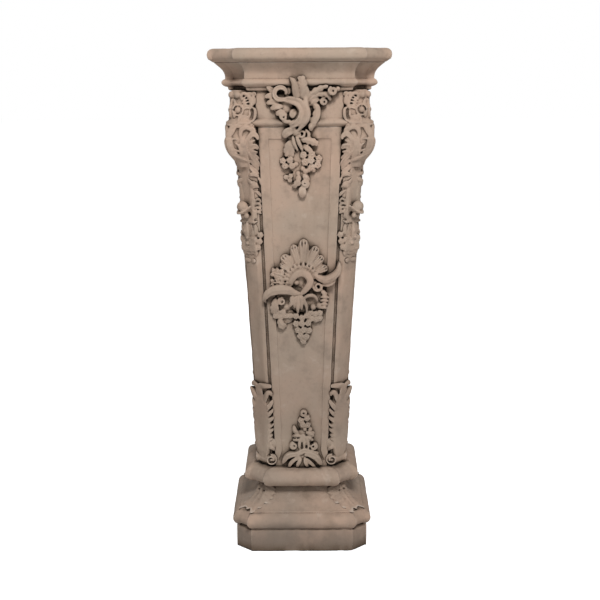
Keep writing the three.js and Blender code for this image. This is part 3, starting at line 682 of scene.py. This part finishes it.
FOOT_STROKES = [
    ([(101, 265, 6.6), (102, 299, 3.8), (98, 345, 3.1), (95, 387, 3.8)], 5, 3, 0),
    ([(94, 373, 3.8), (89, 394, 6.6), (83, 407, 9.4), (76, 404, 10.1), (74, 396, 6.6)], 6, 6, 0),
    ([(101, 387, 2.4), (103, 407, 6.6), (112, 420, 10.8), (120, 425, 13.6), (123, 417, 10.8)], 6.5, 6, 0),
    ([(102, 373, 2.4), (108, 384, 5.2), (113, 378, 6.6), (112, 371, 4.5)], 4, 5, 0),
    ([(97, 351, 3.1), (85, 365, 7.3), (75, 379, 7.3), (71, 387, 3.1)], 6, 6, -2.5),
    ([(97, 339, 3.1), (84, 347, 7.3), (74, 358, 7.3), (71, 364, 3.1)], 5, 6, -1.5),
    ([(98, 321, 3.1), (85, 330, 7.3), (74, 338, 8), (68, 342, 3.1)], 5.5, 6, -2),
    ([(99, 305, 3.1), (84, 314, 7.3), (74, 319, 6.6), (69, 324, 3.1)], 4, 5, 0),
    ([(100, 290, 3.1), (87, 299, 7.3), (76, 305, 6.6), (70, 310, 2.4)], 5, 6, -1.5),
    ([(101, 277, 3.1), (87, 287, 7.3), (77, 291, 7.3), (72, 294, 2.4)], 4.5, 5, -1),
    ([(101, 268, 4.5), (88, 277, 7.3), (77, 282, 6.6), (73, 285, 2.4)], 4.2, 5, 0),
    ([(98, 258, 4.5), (85, 265, 7.3), (75, 269, 6.6), (71, 271, 3.1)], 5, 5, -1),
    ([(104, 283, 2.4), (104, 299, 5.2), (102, 314, 3.1)], 4.5, 4, 0),
    ([(104, 314, 2.4), (105, 330, 5.2), (102, 345, 3.1)], 4, 4, 0),
    ([(103, 345, 2.4), (105, 358, 4.5), (103, 370, 3.1)], 4, 4, 0),
    ([(108, 255, 3.8), (110, 271, 7.3), (110, 283, 3.8)], 5, 5, 0),
    ([(92, 253, 5.2), (83, 260, 8.7), (73, 258, 8.7), (68, 250, 5.2)], 5, 5, 0),
]


def strokes(rows, root):
    return [leaf(on, stops, wide, rise, root=root, rib=rib, rows=10 * len(stops), columns=14, taper=0.4)
            for on in FLANKS for stops, wide, rise, rib in rows]


def on_both(make, spots, *sizes, **more):
    return [part for on in FLANKS for part in several(make, on, spots, *sizes, **more)]


def bracket(name, low, high, inner, root, round_off=16.0):
    """A square corner block between two heights, as far forward of both faces as the bracket's plan says."""
    rows = []
    for z, out in [stop for stop in BRACKET_PLAN if low <= stop[0] <= high]:
        front = float(-face_chart(0.0, np.float64(z), out)[1])
        near = front - out - CORNER_SETBACK - 4
        arc = [(front - round_off + round_off * math.sin(turn),
                front - round_off + round_off * math.cos(turn))
               for turn in np.radians(np.linspace(0, 90, 9))]
        flank = [(inner, near), (inner + 4, front - 3), (inner + 12, front), (inner + 24, front + 0.5)]
        line = [(near - root, near - root), *flank, *arc, *[(y, x) for x, y in reversed(flank)]]
        rows.append([(x, -y, z) for x, y in line])
    return wrapped_grid(name, np.array(rows))


def frieze_block():
    """The carved block at a corner of the frieze: a boss in a ridged shell, scrolls over it and a ledge."""
    parts = [bracket("block", 1066, 1154, 106, 34), *strokes(BLOCK_STROKES, 14)]
    parts += on_both(bud, [(147, 1143, 1)], 8.5, 8)
    parts += on_both(bud, [(146, 1108, 1)], 7.5, 6)
    for on in FLANKS:
        parts.append(coil(on, (146, 1108), 12.5, 12.5, 1.0, 0, (1, 1), 2.4, 4, root=10, taper=0.1))
    return parts


GARLAND_TOP = 856


def corner_console(garlanded):
    """The bracket under the frieze: a bulging scroll, leaves on its flanks, and the front ones' garland."""
    rows = [row for row in CONSOLE_STROKES if garlanded or min(z for _, z, _ in row[0]) > GARLAND_TOP]
    parts = [bracket("console", 972, 1074, 104, 34), *strokes(rows, 14)]
    if garlanded:
        parts += on_both(flower, [(97, 808, 2), (99, 792, 3), (103, 777, 2)], 8.5, rise=8)
        parts += on_both(flower, [(126, 792, 2), (117, 785, 3), (123, 772, 2), (112, 773, 3), (111, 796, 3)],
                         8.5, rise=8)
        parts += on_both(bud, [(115, 743, 2)], 6.5, 7)
        parts += on_both(bud, [(107, 781, 2), (119, 799, 3), (130, 781, 1)], 5, 6)
        parts += [
            bud(pillar_chart, (0, 876, 14), 14, 15),
            leaf(pillar_chart, [(-17, 880, 2), (-9, 866, 22), (0, 862, 29), (9, 866, 22), (17, 880, 2)], 3,
                 4, root=14),
            *several(bud, pillar_chart, [(-6, 855, 9), (6, 855, 9)], 7, 7),
            leaf(pillar_chart, [(0, 838, 2), (0, 815, 6), (0, 790, 2)], 9, 6),
            *several(bud, pillar_chart, [(-3, 817, 8), (3, 801, 7), (-2, 786, 4)], 5, 6),
        ]
    return parts


def foot_leaf():
    """The leaf at the foot of a corner, on a roll that ends in a volute on each face."""
    on = pillar_chart
    radius, half_length, centre_out, lift = 13.5, 20.0, -2.0, 17.5
    height = BASE_HEIGHT + JOINT_GAP / 2 + lift
    round_it = np.linspace(0, 2 * math.pi, 40, endpoint=False)
    around, across = np.meshgrid(round_it, np.linspace(-1, 1, 10) * half_length)
    roll = on(across, height + radius * np.cos(around), centre_out + radius * np.sin(around))
    parts = [wrapped_grid("foot_scroll", roll)]
    parts.append(leaf(on, [(0, 226, 7), (0, 262, 7), (0, 330, 3), (0, 400, 0)], 28, 7, root=16, taper=0.3,
                      rows=30))
    parts += strokes(FOOT_STROKES, 12)
    for flat in (face_chart, beside(face_chart)):
        parts.append(bud(flat, (77, 226, -14), 17.5, 15, **GROUND_RINGS))
        parts.append(coil(flat, (77, 226), 15, 6, 1.4, 80, (-1, 3), 2.1, 6, root=14, taper=0.1))
        parts.append(bud(flat, (77, 226, 1), 4.2, 8))
    return parts


def draped_chart(across, z, out):
    """A corner of the base: flat over the cut, and falling back along both faces past it."""
    heights, reaches, bays, _ = zip(*BASE_LEVELS)
    reach, bay = np.interp(z, heights, reaches), np.interp(z, heights, bays)
    past = np.clip(np.abs(across) - (reach - bay) * DIAGONAL, 0, None)
    return corner_point((reach + bay) * DIAGONAL + out - past, across, z)


def base_leaf():
    on = draped_chart
    spine = [(0, 160, 0), (0, 134, 0), (0, 104, 0)]
    parts = [leaf(on, spine, 17, 2, root=14, taper=0.3, rows=24)]
    parts += frond(on, spine, 6, 36, 4.3, 6.5, forward=0.4, fall=-1, root=12, rib=-3, stem=0.14)
    return parts


def turned_copy(piece, name, quarters):
    pick(piece)
    bpy.ops.object.duplicate()
    copy = bpy.context.object
    copy.name = name
    copy.data.name = name
    turn = math.radians(90 * quarters)
    points = np.empty(len(copy.data.vertices) * 3)
    copy.data.vertices.foreach_get("co", points)
    x, y, z = points.reshape(-1, 3).T
    turned = np.stack([x * math.cos(turn) - y * math.sin(turn), x * math.sin(turn) + y * math.cos(turn), z],
                      axis=1)
    place_points(copy, turned / MM)
    return copy


# Wear of the cast surface: unevenness everywhere and chips along the arrises
CHIP_GRAIN = 17
CHIP_SHIFT = Vector((7.3, 1.9, 4.4))
CHIP_FADE = 0.3
ARRIS_PROUD = 0.1
SWELL_GRAIN = 34
RIPPLE_GRAIN = 11
RIPPLE_SHARE = 0.4
CHIP_SOFTENING = 0.4


def worn(piece, uneven, chips, depth):
    mesh = piece.data
    points, normals = np.empty(len(mesh.vertices) * 3), np.empty(len(mesh.vertices) * 3)
    ends = np.empty(len(mesh.edges) * 2, dtype=int)
    mesh.vertices.foreach_get("co", points)
    mesh.vertex_normals.foreach_get("vector", normals)
    mesh.edges.foreach_get("vertices", ends)
    points, normals, (one, two) = points.reshape(-1, 3) / MM, normals.reshape(-1, 3), ends.reshape(-1, 2).T

    def neighbours_mean(values):
        total = np.zeros_like(values)
        count = np.zeros((len(values), 1))
        for here, there in ((one, two), (two, one)):
            np.add.at(total, here, values[there])
            np.add.at(count, here, 1)
        return total / count

    proud = np.einsum("ij,ij->i", points - neighbours_mean(points), normals)
    places = [Vector(point) for point in points]
    bites = np.array([noise.noise(place / CHIP_GRAIN + CHIP_SHIFT) for place in places])
    chip = np.clip((bites - 0.5 + chips) / CHIP_FADE, 0, 1) * np.clip(proud / ARRIS_PROUD, 0, 1) * depth
    for _ in range(2):
        chip = (1 - CHIP_SOFTENING) * chip + CHIP_SOFTENING * neighbours_mean(chip[:, None])[:, 0]
    swell = np.array([noise.noise(place / SWELL_GRAIN) for place in places])
    ripple = np.array([noise.noise(place / RIPPLE_GRAIN) for place in places])
    shift = uneven * (swell + RIPPLE_SHARE * ripple)
    place_points(piece, points + normals * (shift - chip)[:, None])


# Materials
def link(tree, source, target):
    tree.links.new(source, target)


def node(tree, kind, settings=None, **inputs):
    made = tree.nodes.new(kind)
    for key, value in (settings or {}).items():
        setattr(made, key, value)
    for key, value in inputs.items():
        socket = made.inputs[key.replace("_", " ")]
        if isinstance(value, bpy.types.NodeSocket):
            link(tree, value, socket)
        else:
            socket.default_value = value
    return made


def maths(tree, kind, one, two):
    made = node(tree, "ShaderNodeMath", {"operation": kind})
    for socket, value in zip(made.inputs, (one, two)):
        if isinstance(value, bpy.types.NodeSocket):
            link(tree, value, socket)
        else:
            socket.default_value = value
    return made.outputs[0]


def ranged(tree, value, low, high, to_low=0.0, to_high=1.0):
    made = node(tree, "ShaderNodeMapRange", {"interpolation_type": "SMOOTHSTEP"})
    link(tree, value, made.inputs["Value"])
    for key, number in (("From Min", low), ("From Max", high), ("To Min", to_low), ("To Max", to_high)):
        made.inputs[key].default_value = number
    return made.outputs["Result"]


def mixed(tree, share, one, two, kind="MIX"):
    made = node(tree, "ShaderNodeMix", {"data_type": "RGBA", "blend_type": kind})
    for socket, value in ((made.inputs[0], share), (made.inputs[6], one), (made.inputs[7], two)):
        if isinstance(value, bpy.types.NodeSocket):
            link(tree, value, socket)
        elif isinstance(value, tuple):
            socket.default_value = (*value, 1)
        else:
            socket.default_value = value
    return made.outputs[2]


def grain(tree, place, scale, detail=3.0, rough=0.55, stretch=None):
    if stretch:
        mapping = node(tree, "ShaderNodeMapping", Vector=place)
        mapping.inputs["Scale"].default_value = stretch
        place = mapping.outputs[0]
    return node(tree, "ShaderNodeTexNoise", Vector=place, Scale=scale, Detail=detail,
                Roughness=rough).outputs["Fac"]


BASE_TINT = (0.36, 0.29, 0.235)
SHAFT_TINT = (0.4, 0.325, 0.262)
PINK_CLAY = (0.47, 0.345, 0.27)
GREY_BROWN = (0.25, 0.2, 0.165)
STREAK_BROWN = (0.27, 0.205, 0.155)
# Pale tone for random bloom, and also the painted highlight on convex edges
PALE_BLOOM_AND_HIGHLIGHT = (0.56, 0.47, 0.395)
FOOT_GREY = (0.17, 0.14, 0.117)
WARMTH = (0.99, 0.95, 0.915)
# Dust and dirt browns that also paint shade into hollows and creases
DUST_AND_SHADE_BROWN = (0.135, 0.093, 0.062)
DEEP_SHADE_AND_DIRT = (0.022, 0.014, 0.009)
STAIN_BROWN = (0.2, 0.125, 0.075)


def aged_clay_group():
    """Fired clay that has stood outdoors: its colour and relief, from the place and how open the spot is,
    with painted shade in closed spots and a painted highlight on edges.
    """
    tree = bpy.data.node_groups.new("aged_clay", "ShaderNodeTree")
    for name, kind in (("Clay", "NodeSocketColor"), ("Open", "NodeSocketFloat"), ("Line", "NodeSocketFloat"),
                       ("Edge", "NodeSocketFloat")):
        tree.interface.new_socket(name, in_out="INPUT", socket_type=kind)
    for name, kind in (("Color", "NodeSocketColor"), ("Roughness", "NodeSocketFloat"),
                       ("Normal", "NodeSocketVector")):
        tree.interface.new_socket(name, in_out="OUTPUT", socket_type=kind)
    enter, leave = tree.nodes.new("NodeGroupInput"), tree.nodes.new("NodeGroupOutput")
    place = tree.nodes.new("ShaderNodeTexCoord").outputs["Object"]
    height = node(tree, "ShaderNodeSeparateXYZ", Vector=place).outputs["Z"]

    broad = grain(tree, place, scale=5.0, detail=4.0)
    middle = grain(tree, place, scale=22.0, detail=5.0, rough=0.62)
    fine = grain(tree, place, scale=130.0, detail=4.0, rough=0.6)
    streak = grain(tree, place, scale=16.0, detail=4.0, rough=0.6, stretch=(1.0, 1.0, 0.13))

    colour = mixed(tree, ranged(tree, broad, 0.35, 0.68), enter.outputs["Clay"], PINK_CLAY)
    colour = mixed(tree, ranged(tree, middle, 0.5, 0.72, 0.0, 0.55), colour, GREY_BROWN)
    colour = mixed(tree, ranged(tree, streak, 0.5, 0.75, 0.0, 0.45), colour, STREAK_BROWN)
    colour = mixed(tree, ranged(tree, fine, 0.55, 0.75, 0.0, 0.35), colour, GREY_BROWN)
    colour = mixed(tree, ranged(tree, middle, 0.3, 0.42, 0.35, 0.0), colour, PALE_BLOOM_AND_HIGHLIGHT)
    uneven = maths(tree, "ADD", height, maths(tree, "MULTIPLY", maths(tree, "SUBTRACT", broad, 0.5), 0.2))
    # Greyer towards the bottom of the shaft, fading upwards, and greyer again at the very foot
    above_base = maths(tree, "MULTIPLY", ranged(tree, uneven, 0.18, 0.34),
                       ranged(tree, uneven, 0.34, 0.98, 0.3, 0.0))
    colour = mixed(tree, above_base, colour, FOOT_GREY)
    colour = mixed(tree, ranged(tree, uneven, 0.02, 0.12, 0.72, 0.0), colour, FOOT_GREY)
    colour = mixed(tree, 1.0, colour, WARMTH, "MULTIPLY")
    # Convex edges paled: partly wear, partly a painted highlight along the ridges
    worn_and_highlit_edge = maths(tree, "MULTIPLY", enter.outputs["Edge"], ranged(tree, fine, 0.3, 0.6, 0.4, 1.0))
    colour = mixed(tree, worn_and_highlit_edge, colour, PALE_BLOOM_AND_HIGHLIGHT)
    # Closed spots darkened: some dust, mostly painted shade in hollows, undercuts and under mouldings
    closed = maths(tree, "SUBTRACT", 1.0, enter.outputs["Open"])
    closed = maths(tree, "ADD", closed, maths(tree, "MULTIPLY", maths(tree, "SUBTRACT", middle, 0.5), 0.35))
    colour = mixed(tree, ranged(tree, closed, 0.2, 0.52, 0.0, 0.75), colour, DUST_AND_SHADE_BROWN)
    colour = mixed(tree, ranged(tree, closed, 0.46, 0.76, 0.0, 0.95), colour, DEEP_SHADE_AND_DIRT)
    # Thin creases between carved parts darkened nearly to black: painted shade, with some dirt
    line = maths(tree, "ADD", maths(tree, "SUBTRACT", 1.0, enter.outputs["Line"]),
                 maths(tree, "MULTIPLY", maths(tree, "SUBTRACT", middle, 0.5), 0.4))
    colour = mixed(tree, ranged(tree, line, 0.26, 0.55, 0.0, 0.82), colour, DEEP_SHADE_AND_DIRT)

    spots = node(tree, "ShaderNodeTexVoronoi", {"feature": "F1"}, Vector=place, Scale=9.0, Randomness=1.0)
    ragged = maths(tree, "ADD", spots.outputs["Distance"], maths(tree, "MULTIPLY", fine, 0.12))
    spot = ranged(tree, ragged, 0.1, 0.16, 1.0, 0.0)
    dice = node(tree, "ShaderNodeSeparateColor", Color=spots.outputs["Color"]).outputs[0]
    stained = maths(tree, "MULTIPLY", spot, ranged(tree, dice, 0.86, 0.9))
    colour = mixed(tree, maths(tree, "MULTIPLY", stained, 0.55), colour, STAIN_BROWN)
    link(tree, colour, leave.inputs["Color"])

    pits = node(tree, "ShaderNodeTexVoronoi", {"feature": "F1"}, Vector=place, Scale=210.0, Randomness=1.0)
    sparse = maths(tree, "ADD", pits.outputs["Distance"], maths(tree, "MULTIPLY", broad, 0.3))
    pit = ranged(tree, sparse, 0.18, 0.34, -1.0, 0.0)
    relief = maths(tree, "ADD", maths(tree, "MULTIPLY", fine, 0.9), maths(tree, "MULTIPLY", middle, 1.3))
    relief = maths(tree, "ADD", relief, maths(tree, "MULTIPLY", pit, 0.25))
    bump = node(tree, "ShaderNodeBump", Strength=0.55, Distance=0.0012)
    link(tree, relief, bump.inputs["Height"])
    link(tree, bump.outputs[0], leave.inputs["Normal"])
    link(tree, ranged(tree, middle, 0.3, 0.7, 0.78, 0.95), leave.inputs["Roughness"])
    return tree


def clay_material(name, colour, group, reach):
    material = bpy.data.materials.new(name)
    material.use_nodes = True
    tree = material.node_tree
    shader = tree.nodes["Principled BSDF"]
    shader.inputs["Specular IOR Level"].default_value = 0.25
    # Occlusion within the reach: painted shade in hollows and undercuts
    hollow = node(tree, "ShaderNodeAmbientOcclusion", {"samples": 8}, Distance=reach)
    # Occlusion within 6 mm: painted shade in thin creases
    line = node(tree, "ShaderNodeAmbientOcclusion", {"samples": 6}, Distance=0.006)
    # Occlusion traced inside the piece marks convex edges, for wear and for a painted highlight
    ridge = node(tree, "ShaderNodeAmbientOcclusion", {"samples": 6, "inside": True, "only_local": True},
                 Distance=0.004)
    use = node(tree, "ShaderNodeGroup", {"node_tree": group})
    use.inputs["Clay"].default_value = (*colour, 1)
    link(tree, hollow.outputs["AO"], use.inputs["Open"])
    link(tree, line.outputs["AO"], use.inputs["Line"])
    link(tree, ranged(tree, ridge.outputs["AO"], 0.4, 0.9, 0.75, 0.0), use.inputs["Edge"])
    link(tree, use.outputs["Color"], shader.inputs["Base Color"])
    link(tree, use.outputs["Roughness"], shader.inputs["Roughness"])
    link(tree, use.outputs["Normal"], shader.inputs["Normal"])
    material.diffuse_color = (*colour, 1)
    return material


WORLD_LIGHT = 0.25
KEY_POWER = 104
FILL_POWER = 3
BACK_POWER = 34
FLOOR_SIZE = 60
FLOOR_PAINT = (0.9, 0.9, 0.9, 1)
# The floor's own glow, seen by the camera only, so that it fades into the background
FLOOR_LIFT = 0.78


def set_camera():
    turn = Matrix.Rotation(math.pi / 2 - CAMERA_PITCH, 3, "X") @ Matrix.Rotation(CAMERA_ROLL, 3, "Z")
    bpy.ops.object.camera_add(location=CAMERA_PLACE, rotation=turn.to_euler())
    camera = bpy.context.object
    camera.name = "camera"
    camera.data.lens = CAMERA_LENS
    camera.data.sensor_width = CAMERA_SENSOR
    camera.data.dof.use_dof = False
    bpy.context.scene.camera = camera


def set_stage():
    bpy.ops.mesh.primitive_plane_add(size=FLOOR_SIZE, location=(0, 0, 0))
    floor = bpy.context.object
    floor.name = "studio_floor"
    material = bpy.data.materials.new("studio_floor_paint")
    material.use_nodes = True
    shader = material.node_tree.nodes["Principled BSDF"]
    shader.inputs["Base Color"].default_value = FLOOR_PAINT
    shader.inputs["Roughness"].default_value = 0.9
    shader.inputs["Emission Color"].default_value = (1, 1, 1, 1)
    tree = material.node_tree
    seen = tree.nodes.new("ShaderNodeLightPath").outputs["Is Camera Ray"]
    link(tree, ranged(tree, seen, 0.0, 1.0, 0.0, FLOOR_LIFT), shader.inputs["Emission Strength"])
    floor.data.materials.append(material)


def area_light(name, place, size, power, aim):
    bpy.ops.object.light_add(type="AREA", location=place)
    lamp = bpy.context.object
    lamp.name = name
    lamp.data.size = size
    lamp.data.energy = power
    lamp.rotation_euler = (Vector(aim) - Vector(place)).to_track_quat("-Z", "Y").to_euler()


def set_lights():
    world = bpy.data.worlds.new("studio")
    bpy.context.scene.world = world
    world.use_nodes = True
    tree = world.node_tree
    background = tree.nodes["Background"]
    seen = tree.nodes.new("ShaderNodeLightPath").outputs["Is Camera Ray"]
    background.inputs["Color"].default_value = (1, 1, 1, 1)
    link(tree, ranged(tree, seen, 0.0, 1.0, WORLD_LIGHT, 1.0), background.inputs["Strength"])
    area_light("key", (0.3, -2.9, 3.2), 0.8, KEY_POWER, (0, 0, 0.7))
    area_light("fill", (2.6, -1.6, 1.4), 2.2, FILL_POWER, (0, 0, 0.6))
    area_light("back_fill", (-1.0, 3.2, 2.2), 2.4, BACK_POWER, (0, 0, 0.6))


bpy.context.scene.view_settings.view_transform = "Standard"
set_camera()
set_stage()
set_lights()
clay = aged_clay_group()
# The base's clay is darker than the shaft's, and its wider reach paints a deeper shade in the scotia and
# under the bun
base_clay = clay_material("aged base clay", BASE_TINT, clay, reach=0.05)
shaft_clay = clay_material("aged shaft clay", SHAFT_TINT, clay, reach=0.019)

base = moulded("pedestal_base", BASE_LEVELS)
shaft = joined("pedestal_shaft", [shaft_column(), moulded("cornice", CORNICE_LEVELS)])
finish_with(base, "SUBSURF", subdivision_type="SIMPLE", levels=1)
worn(base, uneven=0.55, chips=0.35, depth=2.0)
worn(shaft, uneven=0.4, chips=0.3, depth=1.4)
carvings = [crest(), cartouche(), spray()]
for carving in carvings:
    worn(carving, uneven=1.2, chips=0.2, depth=0.6)
front = fused("right_front_corner", frieze_block() + corner_console(True) + foot_leaf(), voxel=1.5)
back = fused("right_back_corner", frieze_block() + corner_console(False) + foot_leaf(), voxel=1.8)
leaves = fused("right_front_base_leaf", base_leaf(), voxel=1.5)
corners = [front, leaves]
for carved, name, quarters in [
        (front, "left_front_corner", -1), (back, "left_rear_corner", 2), (back, "right_rear_corner", 1),
        (leaves, "left_front_base_leaf", -1), (leaves, "left_rear_base_leaf", 2),
        (leaves, "right_rear_base_leaf", 1)]:
    corners.append(turned_copy(carved, name, quarters))
bpy.data.objects.remove(back)

for piece in [base, shaft, *carvings, *corners]:
    pick(piece)
    bpy.ops.object.shade_smooth_by_angle(angle=SMOOTH_ANGLE)
    low_piece = piece is base or "base_leaf" in piece.name
    piece.data.materials.clear()
    piece.data.materials.append(base_clay if low_piece else shaft_clay)
    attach(piece, "root")
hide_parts("base")
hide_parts("shaft")
